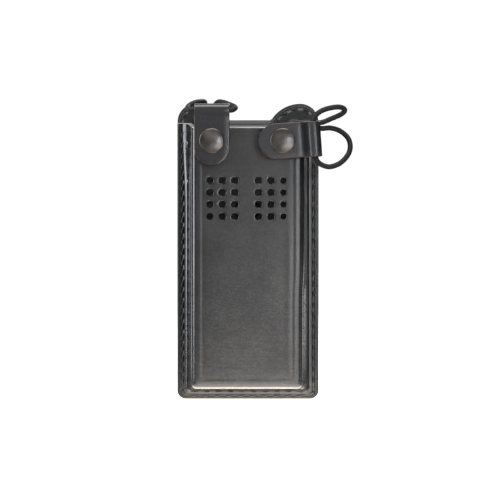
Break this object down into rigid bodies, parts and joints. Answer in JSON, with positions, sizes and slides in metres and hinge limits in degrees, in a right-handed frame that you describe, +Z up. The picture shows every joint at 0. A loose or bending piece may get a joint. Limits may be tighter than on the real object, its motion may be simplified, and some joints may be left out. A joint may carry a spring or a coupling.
{
  "type": "radio carry case",
  "caption": "Moulded leather belt case for a hand-held radio, with a deep stitched pocket, speaker holes, a swivel belt loop and snap tabs on elastic cord.",
  "frame": {"origin": "on the belt loop's back face, where the swivel axis meets it", "axes": "+Z up the case towards its mouth, +Y out of the back towards the wearer, pocket face towards -Y, +X to the right seen from the front"},
  "size_m": [0.1, 0.0709, 0.1729],
  "materials": {
    "moulded_leather": "glossy moulded black leather",
    "case_leather": "semi-gloss black leather",
    "lining_leather": "matt black leather",
    "tab_leather": "matt black leather",
    "thread": "waxed black thread",
    "elastic_cord": "woven black sheath",
    "snap_metal": "gunmetal plating",
    "hidden_metal": "dull nickel plating"
  },
  "bodies": {
    "belt_loop": {"belt_loop": "case_leather", "belt_loop_spacer": "case_leather", "belt_loop_stitching": "thread", "swivel_bushing": "hidden_metal"},
    "case": {"rear_panel": "case_leather", "rear_lining": "lining_leather", "front_shell": "moulded_leather", "perimeter_stitching": "thread", "left_ear_patch": "case_leather", "right_ear_patch": "case_leather", "left_ear_stitching": "thread", "right_ear_stitching": "thread", "left_eyelet": "snap_metal", "right_eyelet": "snap_metal", "left_cord": "elastic_cord", "right_cord": "elastic_cord", "left_cord_clamp": "hidden_metal", "right_cord_clamp": "hidden_metal", "left_snap_stud": "snap_metal", "right_snap_stud": "snap_metal", "left_stud_rivet": "snap_metal", "right_stud_rivet": "snap_metal", "swivel_post": "hidden_metal", "swivel_burr": "hidden_metal", "swivel_washer": "lining_leather"},
    "left_tab": {"left_tab": "tab_leather", "left_snap_cap": "snap_metal", "left_snap_socket": "snap_metal"},
    "right_tab": {"right_tab": "tab_leather", "right_snap_cap": "snap_metal", "right_snap_socket": "snap_metal"}
  },
  "joints": [
    {"name": "swivel", "type": "hinge", "parent": "belt_loop", "child": "case", "pos_m": [0, -0.0154, 0], "axis": [0, 1, 0], "continuous": true},
    {"name": "left_tab_swing", "type": "hinge", "parent": "case", "child": "left_tab", "pos_m": [-0.02, -0.0665, 0.0521], "axis": [-1, 0, 0], "range_deg": [0, 150]},
    {"name": "right_tab_swing", "type": "hinge", "parent": "case", "child": "right_tab", "pos_m": [0.03717, -0.06235, 0.03624], "axis": [-0.0698, 0, 0.9976], "range_deg": [0, 150]}
  ]
}
